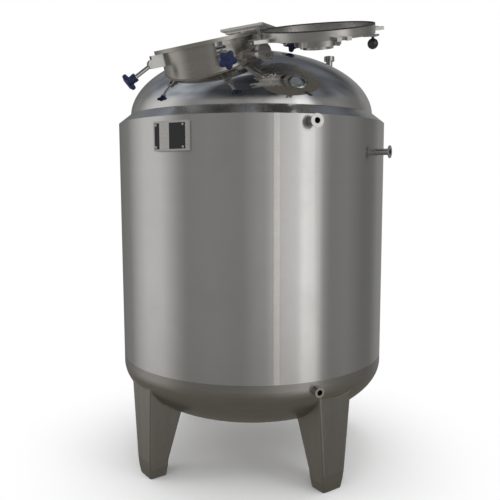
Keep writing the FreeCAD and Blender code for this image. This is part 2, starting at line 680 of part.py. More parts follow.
# ---- hinge -------------------------------------------------------------------------------
def make_hinge():
    """Fixed block and pin, built at the front and turned to the hinge's place."""
    pin_at = V(0, -HINGE_R, -HINGE_DROP)
    half = HINGE_BLOCK_W / 2
    block = box(-half, half, -HINGE_R, -FLANGE_R + 1, -HINGE_DROP - HINGE_EYE_R,
                -HINGE_DROP + HINGE_EYE_R)
    nose = rod(HINGE_EYE_R, pin_at - V(half, 0, 0), pin_at + V(half, 0, 0))
    block = block.fuse(nose).cut(rod(HINGE_PIN_R, pin_at - V(half + 1, 0, 0),
                                     pin_at + V(half + 1, 0, 0)))
    block = block.cut(cylinder(FLANGE_R, -FLANGE_T, 20)).cut(cylinder(FLANGE_R - 1, -60, 20))
    reach = half + LUG_SIDE_GAP + HINGE_ARM_T + 3
    pin = rod(HINGE_PIN_R, pin_at - V(reach, 0, 0), pin_at + V(reach, 0, 0))
    return {"hinge_bracket": on_manway(turned(block, HINGE_AZ)),
            "hinge_pin": on_manway(turned(pin, HINGE_AZ))}


def hinge_arm(side):
    inner_x = HINGE_BLOCK_W / 2 + LUG_SIDE_GAP
    x = inner_x if side > 0 else -inner_x - HINGE_ARM_T
    clear = 8.0
    outline = [V(x, -LID_R + 4, clear), V(x, -LID_R + 4, LID_H - LID_T), V(x, -LID_R - 10, LID_H - LID_T),
               V(x, -HINGE_R - HINGE_EYE_R, -HINGE_DROP),
               V(x, -HINGE_R + HINGE_EYE_R, -HINGE_DROP), V(x, -HINGE_R + HINGE_EYE_R, clear)]
    web = polygon_prism(outline, V(HINGE_ARM_T, 0, 0))
    pin_at = V(x, -HINGE_R, -HINGE_DROP)
    eye = rod(HINGE_EYE_R, pin_at, pin_at + V(HINGE_ARM_T, 0, 0))
    bore = rod(HINGE_PIN_R + RUN_GAP, pin_at - V(1, 0, 0), pin_at + V(HINGE_ARM_T + 1, 0, 0))
    return web.fuse(eye).cut(bore).cut(cylinder(LID_R, -20, LID_H))


# ---- lid ---------------------------------------------------------------------------------
def lid_ear():
    """Forked ear that a swing bolt drops into, at the front of the lid."""
    high = LID_H
    low = LID_H - EAR_T
    half = EAR_W / 2
    plate = box(-half, half, -EAR_REACH, -LID_R + 10, low, high)
    slot = box(-SLOT_W / 2, SLOT_W / 2, -EAR_REACH - 1, -BOLT_PIN_R, low - 1, high + 1)
    slot_end = cylinder(SLOT_W / 2, low - 1, high + 1, 0, -BOLT_PIN_R)
    return plate.cut(slot).cut(slot_end).cut(cylinder(LID_R, low - 1, high + 1))


def make_lid():
    seat = GASKET_H + STACK_GAP
    pan = ring(LID_R, LID_R - LID_T, seat, LID_H)
    pan = pan.fuse([cylinder(LID_R - LID_T, LID_H - LID_T, LID_H),
                    ring(LID_R - LID_T, LID_R - LID_SEAT_W, seat, seat + LID_T)])
    pan = pan.cut(cylinder(SIGHT_OPEN_R, 0, LID_H + 1))
    gasket = ring(LID_R - GASKET_INSET, LID_R - LID_SEAT_W + GASKET_INSET, STACK_GAP, seat)
    ears = Part.makeCompound([turned(lid_ear(), az) for az in BOLT_AZ])
    arms = Part.makeCompound([turned(hinge_arm(side), HINGE_AZ) for side in (-1, 1)])
    half = HANDLE_W / 2
    plate = box(-half, half, -HANDLE_REACH, -LID_R + 30, LID_H, LID_H + HANDLE_T)
    plate = turned(plate, HINGE_AZ + 180)
    stem_top = LID_H + HANDLE_T + BALL_STEM_L
    ball_at = V(0, -LID_R, stem_top + BALL_R * 0.9)
    ball = Part.makeSphere(BALL_R, ball_at)
    ball = ball.fuse(cylinder(BALL_STEM_R, LID_H + HANDLE_T, stem_top + 4, 0, -LID_R))
    ball = turned(ball, HINGE_AZ + 180)
    nodes = {"lid_pan": pan, "lid_gasket": gasket, "lid_ears": ears, "lid_hinge_arms": arms,
             "lid_handle_plate": plate, "lid_ball_knob": ball}
    nodes.update(make_sight_glass())
    return {name: lid_opened(shape) for name, shape in nodes.items()}


def make_sight_glass():
    low = LID_H
    glass_low = low + SIGHT_BASE_H - GLASS_T
    ring_low = low + SIGHT_BASE_H
    ring_top = ring_low + SIGHT_RING_H
    base = ring(SIGHT_R, SIGHT_OPEN_R, low, ring_low)
    base = base.cut(cylinder(GLASS_R, glass_low, ring_low + 1))
    glass = cylinder(GLASS_R - STACK_GAP, glass_low, ring_low)
    cover = ring(SIGHT_R, SIGHT_OPEN_R, ring_low, ring_top)
    cover = cover.fuse(ring(HOOD_R, SIGHT_OPEN_R, ring_top, ring_top + HOOD_H))
    circle = (SIGHT_R + GLASS_R) / 2
    screws = []
    for step in range(SIGHT_SCREWS):
        a = 2 * math.pi * step / SIGHT_SCREWS
        x = circle * math.cos(a)
        y = circle * math.sin(a)
        shank = cylinder(SIGHT_SCREW_R, low + 4, ring_top, x, y)
        head = cylinder(SIGHT_HEAD_R, ring_top, ring_top + SIGHT_HEAD_H, x, y)
        screws.append(shank.fuse(head))
    holes = Part.makeCompound([cylinder(SIGHT_SCREW_R, low + 4, ring_top + 1,
                                        circle * math.cos(2 * math.pi * step / SIGHT_SCREWS),
                                        circle * math.sin(2 * math.pi * step / SIGHT_SCREWS))
                               for step in range(SIGHT_SCREWS)])
    return {"sight_glass_base": base.cut(holes), "sight_glass_disc": glass,
            "sight_glass_ring": cover.cut(holes), "sight_glass_screws": Part.makeCompound(screws)}


# ---- nameplate ---------------------------------------------------------------------------
def make_nameplate():
    """Plate on a stand-off bracket, built at the front and turned to its place."""
    face_y = -(CLAD_R + PLATE_STAND)
    half = PLATE_W / 2
    top = Z_WALL_TOP - PLATE_TOP_DROP
    low = top - PLATE_H
    back = box(-half, half, face_y, -CLAD_R + 30, low, top)
    hollow = box(-half + PLATE_T, half - PLATE_T, face_y + PLATE_T, -CLAD_R + 31, low - 1, top + 1)
    bracket = back.cut(hollow).cut(cylinder(CLAD_R, low - 1, top + 1))
    margin = PLATE_MARGIN
    plate = box(-half + margin, half - margin, face_y - PLATE_T, face_y, low + margin, top - margin)
    screws = []
    holes = []
    for x in (-half + 2 * margin, half - 2 * margin):
        for z in (low + 2 * margin, top - 2 * margin):
            spot = V(x, face_y - PLATE_T, z)
            shank = rod(PLATE_SCREW_R, spot, spot + V(0, 2 * PLATE_T, 0))
            head = rod(PLATE_SCREW_R * 1.8, spot - V(0, 2.0, 0), spot)
            screws.append(shank.fuse(head))
            holes.append(rod(PLATE_SCREW_R, spot - V(0, 1, 0), spot + V(0, 3 * PLATE_T, 0)))
    holes = Part.makeCompound(holes)
    nodes = {"nameplate_bracket": bracket.cut(holes), "nameplate": plate.cut(holes),
             "nameplate_screws": Part.makeCompound(screws)}
    return {name: turned(shape, PLATE_AZ) for name, shape in nodes.items()}


def make_all():
    nodes = {}
    for build in (make_vessel, make_layers, make_cladding, make_legs, make_nozzles, make_cleaning,
                  make_agitator_mount, make_manway, make_lugs, make_swing_bolts, make_vent,
                  make_hinge, make_lid, make_nameplate):
        nodes.update(build())
    return nodes


os.makedirs("parts", exist_ok=True)
NODES = make_all()
for name, shape in NODES.items():
    if not shape.isValid() or not shape.Solids:
        raise ValueError(name + " is not a valid solid")
    shape.exportStep("parts/" + name + ".step")
print(len(NODES), "nodes")
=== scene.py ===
"""Looks of an upright insulated milk tank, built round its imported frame. Metres, +Z up, front is -Y."""
import functools
import json
import math
import bmesh
import bpy
from mathutils import Matrix, Vector


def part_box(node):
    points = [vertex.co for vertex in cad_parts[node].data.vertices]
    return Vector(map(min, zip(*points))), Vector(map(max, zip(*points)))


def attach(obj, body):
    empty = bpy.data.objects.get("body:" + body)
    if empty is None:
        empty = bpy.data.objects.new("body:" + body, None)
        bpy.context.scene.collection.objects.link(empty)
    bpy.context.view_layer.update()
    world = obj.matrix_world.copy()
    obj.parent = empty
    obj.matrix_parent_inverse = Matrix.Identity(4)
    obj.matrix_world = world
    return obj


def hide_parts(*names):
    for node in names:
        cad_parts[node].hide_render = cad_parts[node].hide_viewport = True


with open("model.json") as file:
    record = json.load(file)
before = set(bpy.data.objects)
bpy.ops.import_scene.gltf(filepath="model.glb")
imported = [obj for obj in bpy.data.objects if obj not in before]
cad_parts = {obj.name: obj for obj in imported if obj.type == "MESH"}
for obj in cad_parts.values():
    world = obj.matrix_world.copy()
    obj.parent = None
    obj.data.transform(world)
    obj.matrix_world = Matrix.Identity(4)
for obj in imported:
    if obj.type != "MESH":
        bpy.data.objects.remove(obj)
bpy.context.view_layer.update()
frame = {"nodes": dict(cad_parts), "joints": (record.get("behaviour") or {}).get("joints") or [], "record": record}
NODES = frame["nodes"]
JOINTS = {joint["name"]: joint for joint in frame["joints"]}
MOUNTS = {mount["name"]: mount for mount in frame["record"]["mounts"]}

# ---- sizes read from the frame -------------------------------------------------------------
WALL_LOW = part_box("cladding_wall")[0].z
WALL_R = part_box("cladding_wall")[1].x
DISH_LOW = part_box("cladding_bottom")[0].z
DISH_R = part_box("cladding_bottom")[1].x
HEAD_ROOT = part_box("top_head")[0].z
HEAD_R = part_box("top_head")[1].x
MANWAY_AXIS = Vector(MOUNTS["manway_neck"]["axis"]).normalized()

# ---- sizes stated here ---------------------------------------------------------------------
HEAD_RISE = 0.279
HEAD_TOP = HEAD_RISE + HEAD_ROOT
MANWAY_LIFT = 0.004  # along the manway's axis, from the neck's mount
MANWAY_AT = Vector(MOUNTS["manway_neck"]["pos_m"]) + MANWAY_AXIS * MANWAY_LIFT
LID_OPEN = math.radians(188.0)  # how far the lid is swung back at rest
NECK_R = 0.2
AGITATOR_NECK_R = 0.057
CLEANING_PIPE_R = 0.014
PIPE_R = 0.0127
DISH_SKIRT = 0.030  # straight edge of the lower head
KNOB_NAMES = ["left", "front", "right", "rear"]
LEG_NAMES = ["front_right", "rear_right", "rear_left", "front_left"]
LEG_FIRST_AZ = 35.5
LEG_TOP = (0.180, 0.205)  # width and depth
LEG_LOW = (0.115, 0.090)
LEG_INSET = 0.014
LEG_LEAN = 0.004
LEG_FACE_TOP = WALL_R - LEG_INSET
LEG_FACE_LOW = LEG_FACE_TOP - LEG_LEAN
FOOT_H = 0.072
UP = Vector((0, 0, 1))

# ---- camera --------------------------------------------------------------------------------
CAMERA_BACK = 2.814
CAMERA_RISE = 0.758  # above the wall's lower edge
CAMERA_TILT = 6.42  # degrees below level
CAMERA_PAN = 0.167
CAMERA_ROLL = -0.166
CAMERA_LENS = 45.0
CAMERA_SENSOR = 36.0

# ---- weld ripples --------------------------------------------------------------------------
WELD_MANWAY = 0.0032
WELD_AGITATOR = 0.0028
WELD_PIPE = 0.0018
WELD_LEG = 0.0026
RIPPLE_SPACING = 0.75  # a share of the ripple's radius


# ---- material building ---------------------------------------------------------------------
def add_node(tree, kind, inputs=None, **settings):
    """Add a node: settings first, then each input from a socket or a plain value."""
    node = tree.nodes.new(kind)
    for key, value in settings.items():
        setattr(node, key, value)
    for key, value in (inputs or {}).items():
        if isinstance(value, bpy.types.NodeSocket):
            tree.links.new(value, node.inputs[key])
        else:
            node.inputs[key].default_value = value
    return node


class Finish:
    """One procedural material, with short calls for the nodes that every finish shares."""

    def __init__(self, name, colour, metallic=0.0, roughness=0.5):
        self.material = bpy.data.materials.new(name)
        self.material.use_nodes = True
        self.tree = self.material.node_tree
        self.tree.nodes.clear()
        self.output = self.tree.nodes.new("ShaderNodeOutputMaterial")
        self.shader = self.tree.nodes.new("ShaderNodeBsdfPrincipled")
        self.tree.links.new(self.shader.outputs[0], self.output.inputs["Surface"])
        self.shader.inputs["Base Color"].default_value = (*colour, 1.0)
        self.shader.inputs["Metallic"].default_value = metallic
        self.shader.inputs["Roughness"].default_value = roughness
        self.where = None
        self.material.diffuse_color = (*colour, 1.0)

    def add(self, kind, inputs=None, **settings):
        return add_node(self.tree, kind, inputs, **settings)

    def place(self):
        """Object coordinates, which are the row frame in metres."""
        if self.where is None:
            self.where = self.add("ShaderNodeTexCoord").outputs["Object"]
        return self.where

    def math(self, operation, a, b=0.0):
        return self.add("ShaderNodeMath", {0: a, 1: b}, operation=operation).outputs[0]

    def distance(self, x, y):
        """How far a point is from the axis."""
        squares = self.math("ADD", self.math("MULTIPLY", x, x), self.math("MULTIPLY", y, y))
        return self.math("SQRT", squares)

    def turned_place(self, centre, axis):
        """The place seen from a centre, with an axis turned to +Z."""
        turn = axis.rotation_difference(UP).to_euler()
        moved = self.add("ShaderNodeVectorMath", {0: self.place(), 1: tuple(-centre)}, operation="ADD")
        return self.add("ShaderNodeMapping", {"Vector": moved.outputs[0], "Rotation": tuple(turn)}).outputs[0]

    def round_the_axis(self, along, across, radial, where=None):
        """Coordinates that follow a turned or rolled sheet: direction, height and distance from the axis."""
        split = self.add("ShaderNodeSeparateXYZ", {0: where or self.place()})
        x, y, z = split.outputs
        reach = self.distance(x, y)
        apart = self.math("ADD", reach, 0.0005)
        sine = self.math("MULTIPLY", self.math("DIVIDE", y, apart), along)
        cosine = self.math("MULTIPLY", self.math("DIVIDE", x, apart), along)
        height = self.math("MULTIPLY", z, across)
        rings = self.math("MULTIPLY", reach, radial)
        last = self.math("ADD", height, rings)
        return self.add("ShaderNodeCombineXYZ", {0: cosine, 1: sine, 2: last}).outputs[0]

    def stretched(self, scale, where=None):
        return self.add("ShaderNodeMapping", {"Vector": where or self.place(), "Scale": scale}).outputs[0]

    def noise(self, where, scale=1.0, detail=4.0, roughness=0.5, distortion=0.0):
        inputs = {"Vector": where, "Scale": scale, "Detail": detail, "Roughness": roughness,
                  "Distortion": distortion}
        return self.add("ShaderNodeTexNoise", inputs).outputs["Fac"]

    def spread(self, value, low, high, from_low=0.3, from_high=0.7):
        inputs = {0: value, 1: from_low, 2: from_high, 3: low, 4: high}
        return self.add("ShaderNodeMapRange", inputs).outputs[0]

    def mix_colour(self, factor, first, second):
        inputs = {0: factor, 6: first, 7: second}
        return self.add("ShaderNodeMix", inputs, data_type="RGBA").outputs[2]

    def connect(self, value, socket):
        self.tree.links.new(value, self.shader.inputs[socket])

    def colour_by(self, factor, first, second):
        """Base colour that goes from the first to the second with a factor."""
        self.connect(self.mix_colour(factor, first, second), "Base Color")

    def bump(self, height, distance, strength=1.0, normal=None):
        inputs = {"Height": height, "Distance": distance, "Strength": strength}
        if normal is not None:
            inputs["Normal"] = normal
        return self.add("ShaderNodeBump", inputs).outputs[0]


def shade(colour, factor):
    return (colour[0] * factor, colour[1] * factor, colour[2] * factor, 1.0)


def brushed_metal(name, colour, lines, roughness, grain, anisotropy, rotation, dirt=0.10, depth=0.00006):
    """Stainless with brush lines; lines gives the coordinates that run along the grain."""
    finish = Finish(name, colour, 1.0, roughness)
    where = lines(finish)
    fine = finish.noise(where, grain, 3.0, 0.65)
    broad = finish.noise(where, grain * 0.07, 2.0, 0.5)
    smudge = finish.noise(finish.place(), 5.0, 5.0, 0.6, 0.4)
    marks = finish.noise(finish.place(), 38.0, 2.0, 0.5)
    together = finish.math("ADD", finish.math("MULTIPLY", fine, 0.6), finish.math("MULTIPLY", broad, 0.4))
    dull, bright = shade(colour, 1.0 - dirt), shade(colour, 1.0 + dirt * 0.6)
    tone = finish.mix_colour(finish.spread(together, 0.0, 1.0), dull, bright)
    finish.colour_by(finish.spread(smudge, 0.0, 0.5, 0.45, 0.75), tone, shade(colour, 1.0 - dirt * 1.3))
    rough = finish.math("ADD", finish.spread(together, roughness * 0.82, roughness * 1.14),
                        finish.spread(smudge, -0.02, 0.05))
    rough = finish.math("ADD", rough, finish.spread(marks, 0.0, 0.02, 0.55, 0.7))
    finish.connect(rough, "Roughness")
    finish.connect(finish.bump(together, depth, 0.6), "Normal")
    if anisotropy:
        finish.shader.inputs["Anisotropic"].default_value = anisotropy
        finish.shader.inputs["Anisotropic Rotation"].default_value = rotation
        tangent = finish.add("ShaderNodeTangent", direction_type="RADIAL", axis="Z")
        finish.connect(tangent.outputs[0], "Tangent")
    return finish.material


def wall_steel():
    return brushed_metal("wall_satin_steel", (0.66, 0.655, 0.648),
                         lambda f: f.round_the_axis(2.2, 300.0, 0.0), 0.17, 1.0, 0.85, 0.25, 0.03, 0.00001)


def plate_steel(name="bright_satin_plate", colour=(0.66, 0.655, 0.645), roughness=0.24):
    return brushed_metal(name, colour, lambda f: f.stretched((30.0, 420.0, 420.0)), roughness, 1.0, 0.0, 0.0)


def leg_steel():
    return brushed_metal("leg_folded_plate", (0.40, 0.385, 0.36),
                         lambda f: f.stretched((360.0, 360.0, 14.0)), 0.32, 1.0, 0.0, 0.0, 0.14, 0.00003)


def dish_steel():
    return brushed_metal("lower_head_steel", (0.44, 0.425, 0.40),
                         lambda f: f.round_the_axis(2.6, 60.0, 200.0), 0.32, 1.0, 0.45, 0.25, 0.10, 0.00003)


def neck_steel():
    return brushed_metal("manway_neck_steel", (0.52, 0.50, 0.465),
                         lambda f: f.round_the_axis(2.0, 300.0, 0.0, f.turned_place(MANWAY_AT, MANWAY_AXIS)),
                         0.26, 1.0, 0.0, 0.0, 0.14)


def lid_steel(normal):
    low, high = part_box("lid_pan")
    centre = (low + high) / 2
    return brushed_metal("lid_turned_steel", (0.62, 0.61, 0.595),
                         lambda f: f.round_the_axis(1.6, 60.0, 330.0, f.turned_place(centre, normal)),
                         0.25, 1.0, 0.0, 0.0, 0.12)


def mirror_steel(name, roughness=0.045, ripple=0.0016):
    """Hand-polished head: a mirror with slow waves and fine wheel marks."""
    colour = (0.74, 0.735, 0.725)
    finish = Finish(name, colour, 1.0, roughness)
    where = finish.round_the_axis(3.0, 50.0, 260.0)
    wheel = finish.noise(where, 1.0, 3.0, 0.6)
    waves = finish.noise(finish.place(), 4.5, 2.0, 0.45, 0.3)
    haze = finish.noise(finish.place(), 9.0, 5.0, 0.6)
    finish.colour_by(finish.spread(wheel, 0.0, 1.0), shade(colour, 0.95), shade(colour, 1.04))
    finish.connect(finish.math("ADD", finish.spread(haze, roughness * 0.6, roughness * 1.8),
                               finish.spread(wheel, 0.0, 0.02)), "Roughness")
    slow = finish.bump(waves, ripple, 1.0)
    finish.connect(finish.bump(wheel, 0.00001, 0.5, slow), "Normal")
    return finish.material


def knob_plastic():
    colour = (0.006, 0.011, 0.045)
    finish = Finish("knob_blue_plastic", colour, 0.0, 0.42)
    speckle = finish.noise(finish.place(), 900.0, 2.0, 0.5)
    rub = finish.noise(finish.place(), 55.0, 4.0, 0.6)
    finish.colour_by(finish.spread(rub, 0.0, 1.0, 0.4, 0.75), shade(colour, 1.0), shade(colour, 1.9))
    finish.connect(finish.spread(rub, 0.30, 0.52), "Roughness")
    finish.connect(finish.bump(speckle, 0.00006, 0.6), "Normal")
    return finish.material


def ball_plastic():
    colour = (0.012, 0.012, 0.013)
    finish = Finish("ball_black_plastic", colour, 0.0, 0.16)
    rub = finish.noise(finish.place(), 70.0, 4.0, 0.6)
    finish.colour_by(finish.spread(rub, 0.0, 1.0, 0.45, 0.8), shade(colour, 1.0), shade(colour, 2.6))
    finish.connect(finish.spread(rub, 0.10, 0.28), "Roughness")
    finish.shader.inputs["Coat Weight"].default_value = 0.4
    return finish.material


def seal_rubber():
    colour = (0.018, 0.018, 0.019)
    finish = Finish("lid_seal_rubber", colour, 0.0, 0.62)
    dust = finish.noise(finish.place(), 160.0, 4.0, 0.6)
    fine = finish.noise(finish.place(), 1400.0, 2.0, 0.5)
    finish.colour_by(finish.spread(dust, 0.0, 1.0, 0.4, 0.8), shade(colour, 1.0), shade(colour, 2.4))
    finish.connect(finish.spread(dust, 0.5, 0.75), "Roughness")
    finish.connect(finish.bump(fine, 0.00008, 0.5), "Normal")
    return finish.material


def window_glass():
    finish = Finish("sight_glass", (0.93, 0.97, 0.96), 0.0, 0.02)
    finish.shader.inputs["Transmission Weight"].default_value = 1.0
    finish.shader.inputs["IOR"].default_value = 1.5
    haze = finish.noise(finish.place(), 30.0, 4.0, 0.6)
    finish.connect(finish.spread(haze, 0.01, 0.06), "Roughness")
    return finish.material


def wool():
    colour = (0.62, 0.55, 0.33)
    finish = Finish("mineral_wool", colour, 0.0, 0.9)
    fibre = finish.noise(finish.stretched((90.0, 90.0, 400.0)), 1.0, 6.0, 0.7, 0.8)
    finish.colour_by(finish.spread(fibre, 0.0, 1.0), shade(colour, 0.6), shade(colour, 1.3))
    finish.connect(finish.bump(fibre, 0.003, 0.8), "Normal")
    return finish.material


def nameplate_painted_reflection():
    """Polished plate with one bright panel left of its middle and black on both sides of it: the black is a
    painted dark reflection.
    """
    colour = (0.70, 0.69, 0.67)
    finish = Finish("nameplate_with_painted_dark_reflection", colour, 1.0, 0.22)
    low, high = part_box("nameplate")
    along = Vector((high.x - low.x, -(high.y - low.y), 0)).normalized()
    centre = (low + high) / 2
    flat = finish.add("ShaderNodeVectorMath", {0: finish.place(), 1: tuple(along)}, operation="DOT_PRODUCT")
    across = finish.math("SUBTRACT", flat.outputs["Value"], centre.dot(along))
    # The strips right and left of the bright panel get a painted dark reflection: near-black, non-metal colour.
    right = finish.math("GREATER_THAN", across, -0.002)
    left = finish.math("LESS_THAN", across, -0.046)
    black = finish.math("MAXIMUM", right, left)
    brush = finish.noise(finish.stretched((40.0, 40.0, 900.0)), 1.0, 3.0, 0.6)
    bright = finish.mix_colour(finish.spread(brush, 0.0, 1.0), shade(colour, 0.92), shade(colour, 1.06))
    # Painted dark reflection: the masked strips turn near-black and lose their metal shine.
    finish.colour_by(black, bright, (0.012, 0.012, 0.013, 1.0))
    finish.connect(finish.math("SUBTRACT", 1.0, black), "Metallic")
    finish.connect(finish.math("ADD", finish.spread(brush, 0.2, 0.28), finish.math("MULTIPLY", black, -0.1)),
                   "Roughness")
    return finish.material


def weld_metal():
    colour = (0.50, 0.475, 0.44)
    finish = Finish("weld_bead_steel", colour, 1.0, 0.35)
    tint = finish.noise(finish.place(), 60.0, 3.0, 0.6)
    finish.colour_by(finish.spread(tint, 0.0, 1.0), shade(colour, 0.7), (0.55, 0.46, 0.34, 1.0))
    finish.connect(finish.spread(tint, 0.26, 0.45), "Roughness")
    return finish.material


# ---- studio --------------------------------------------------------------------------------
def make_camera():
    data = bpy.data.cameras.new("camera")
    data.lens = CAMERA_LENS
    data.sensor_width = CAMERA_SENSOR
    camera = bpy.data.objects.new("camera", data)
    bpy.context.scene.collection.objects.link(camera)
    camera.location = (0.0, -CAMERA_BACK, WALL_LOW + CAMERA_RISE)
    pan = Matrix.Rotation(math.radians(CAMERA_PAN), 4, "Z")
    tilt = Matrix.Rotation(math.radians(90 - CAMERA_TILT), 4, "X")
    roll = Matrix.Rotation(math.radians(CAMERA_ROLL), 4, "Z")
    camera.rotation_euler = (pan @ tilt @ roll).to_euler()
    bpy.context.scene.camera = camera


def make_floor():
    """Pale floor that takes only a soft shadow and melts into the white room further out."""
    mesh = bpy.data.meshes.new("studio_floor")
    half = 30.0
    corners = [(-half, -half, 0), (half, -half, 0), (half, half, 0), (-half, half, 0)]
    mesh.from_pydata(corners, [], [(0, 1, 2, 3)])
    floor = bpy.data.objects.new("studio_floor", mesh)
    bpy.context.scene.collection.objects.link(floor)
    finish = Finish("pale_floor", (0.93, 0.93, 0.93), 0.0, 1.0)
    finish.shader.inputs["Specular IOR Level"].default_value = 0.0
    white = finish.add("ShaderNodeEmission", {"Color": (1.0, 1.0, 1.0, 1.0), "Strength": 1.0})
    split = finish.add("ShaderNodeSeparateXYZ", {0: finish.place()})
    x, y = split.outputs[0], split.outputs[1]
    reach = finish.distance(x, y)
    fade = finish.add("ShaderNodeMapRange", {0: reach, 1: 0.55, 2: 1.35, 3: 0.0, 4: 1.0},
                      interpolation_type="SMOOTHSTEP").outputs[0]
    mixed = finish.add("ShaderNodeMixShader", {0: fade, 1: finish.shader.outputs[0], 2: white.outputs[0]})
    finish.tree.links.new(mixed.outputs[0], finish.output.inputs["Surface"])
    mesh.materials.append(finish.material)
    floor.visible_glossy = False


def area_light(name, place, target, size, power, height=None):
    data = bpy.data.lights.new(name, "AREA")
    data.shape = "RECTANGLE"
    data.size = size
    data.size_y = height or size
    data.energy = power
    light = bpy.data.objects.new(name, data)
    bpy.context.scene.collection.objects.link(light)
    light.location = place
    direction = Vector(target) - Vector(place)
    light.rotation_euler = direction.to_track_quat("-Z", "Y").to_euler()
    light.visible_glossy = False


def level_ramp(add, value, stops, low, high, tint):
    """Tinted levels against a value that runs from low to high."""
    turn = add("ShaderNodeMapRange", {0: value, 1: low, 2: high})
    ramp = add("ShaderNodeValToRGB", {0: turn.outputs[0]})
    elements = ramp.color_ramp.elements
    while len(elements) > 1:
        elements.remove(elements[0])
    for index, (place, level) in enumerate(stops):
        at = (place - low) / (high - low)
        element = elements[0] if index == 0 else elements.new(at)
        element.position = at
        element.color = (level * tint[0], level * tint[1], level * tint[2], 1.0)
    return ramp.outputs[0]


# Room seen in what shines: (degrees from the front towards the right, brightness) at eye level.
ROOM_WALLS = [
    (-180, 0.20), (-160, 0.15), (-128, 0.25), (-113, 0.50), (-101, 0.66), (-91, 0.68), (-81, 0.66),
    (-72, 0.50), (-64, 0.35), (-56, 0.25), (-34, 0.27), (-8, 0.25), (5, 0.35), (11, 0.37), (24, 0.68),
    (38, 0.78), (43, 1.10), (54, 0.95), (61, 0.36), (68, 0.23), (86, 0.25), (108, 0.17), (122, 0.17),
    (138, 0.27)]
# Ceiling: the same, for what looks up.
ROOM_CEILING = [
    (-180, 0.34), (-130, 0.22), (-95, 0.50), (-62, 0.34), (-44, 0.07), (-20, 0.04), (0, 0.03),
    (24, 0.05), (34, 0.40), (50, 0.62), (64, 0.14), (92, 0.20), (140, 0.14)]


def make_world():
    """Pale room: white to the eye, with softer and darker walls in what shines."""
    world = bpy.data.worlds.new("studio")
    bpy.context.scene.world = world
    world.use_nodes = True
    tree = world.node_tree
    tree.nodes.clear()
    add = functools.partial(add_node, tree)
    where = add("ShaderNodeTexCoord").outputs["Generated"]
    x, y, z = add("ShaderNodeSeparateXYZ", {0: where}).outputs
    flip = add("ShaderNodeMath", {0: y, 1: -1.0}, operation="MULTIPLY").outputs[0]
    angle = add("ShaderNodeMath", {0: x, 1: flip}, operation="ARCTAN2").outputs[0]
    angle = add("ShaderNodeMath", {0: angle}, operation="DEGREES").outputs[0]
    walls = level_ramp(add, angle, ROOM_WALLS, -180, 180, (1.0, 0.993, 0.975))
    ceiling = level_ramp(add, angle, ROOM_CEILING, -180, 180, (0.90, 0.96, 1.08))
    patches = add("ShaderNodeTexNoise", {"Vector": where, "Scale": 2.4, "Detail": 1.0}).outputs["Fac"]
    patches = add("ShaderNodeMapRange", {0: patches, 1: 0.36, 2: 0.64, 3: 0.55, 4: 1.20}).outputs[0]
    sky = add("ShaderNodeMix", {0: 1.0, 6: ceiling, 7: patches},
              data_type="RGBA", blend_type="MULTIPLY").outputs[2]
    rise = add("ShaderNodeMapRange", {0: z, 1: 0.30, 2: 0.62}, interpolation_type="SMOOTHSTEP").outputs[0]
    room = add("ShaderNodeMix", {0: rise, 6: walls, 7: sky}, data_type="RGBA").outputs[2]
    fall = add("ShaderNodeMapRange", {0: z, 1: -0.22, 2: -0.50}, interpolation_type="SMOOTHSTEP").outputs[0]
    ground = (0.17, 0.16, 0.14, 1.0)
    room = add("ShaderNodeMix", {0: fall, 6: room, 7: ground}, data_type="RGBA").outputs[2]
    shown = add("ShaderNodeBackground", {0: room})
    white = add("ShaderNodeBackground", {0: (1.0, 1.0, 1.0, 1.0)})
    glossy = add("ShaderNodeLightPath").outputs["Is Glossy Ray"]
    mixed = add("ShaderNodeMixShader", {0: glossy, 1: white.outputs[0], 2: shown.outputs[0]})
    add("ShaderNodeOutputWorld", {0: mixed.outputs[0]})


def make_studio():
    make_camera()
    make_floor()
    make_world()
    area_light("key_softbox", (3.2, -2.6, 3.4), (0, 0, 1.1), 1.6, 30.0, 2.2)
    area_light("fill_softbox", (-3.8, -0.4, 2.2), (0, 0, 1.0), 1.4, 20.0, 2.4)
    area_light("top_softbox", (0.2, 0.4, 4.2), (0, 0, 1.0), 2.4, 25.0)
    scene = bpy.context.scene
    scene.view_settings.view_transform = "Standard"
    scene.view_settings.look = "None"


# ---- pieces --------------------------------------------------------------------------------
def new_piece(name, mesh, material, body):
    piece = bpy.data.objects.new(name, mesh)
    bpy.context.scene.collection.objects.link(piece)
    mesh.materials.clear()
    mesh.materials.append(material)
    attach(piece, body)
    return piece


def knob_outline(lobe):
    """Half section of a star knob, bore first: (radius, height above the washer) in metres."""
    rim = 0.0235 + 0.0110 * lobe
    return [(0.0001, 0.0403), (0.0081, 0.0403), (0.0081, 0.0034), (0.0150, 0.0034), (0.0166, 0.0046),
            (0.0168, 0.0080), (0.0160, 0.0150), (0.0158, 0.0200), (0.0172, 0.0240), (rim * 0.86, 0.0262),
            (rim * 0.955, 0.0280), (rim * 0.992, 0.0310), (rim, 0.0350), (rim * 0.992, 0.0388),
            (rim * 0.955, 0.0415), (rim * 0.87, 0.0432), (0.0190, 0.0437), (0.0150, 0.0442),
            (0.0120, 0.0451), (0.0060, 0.0453), (0.0001, 0.0453)]


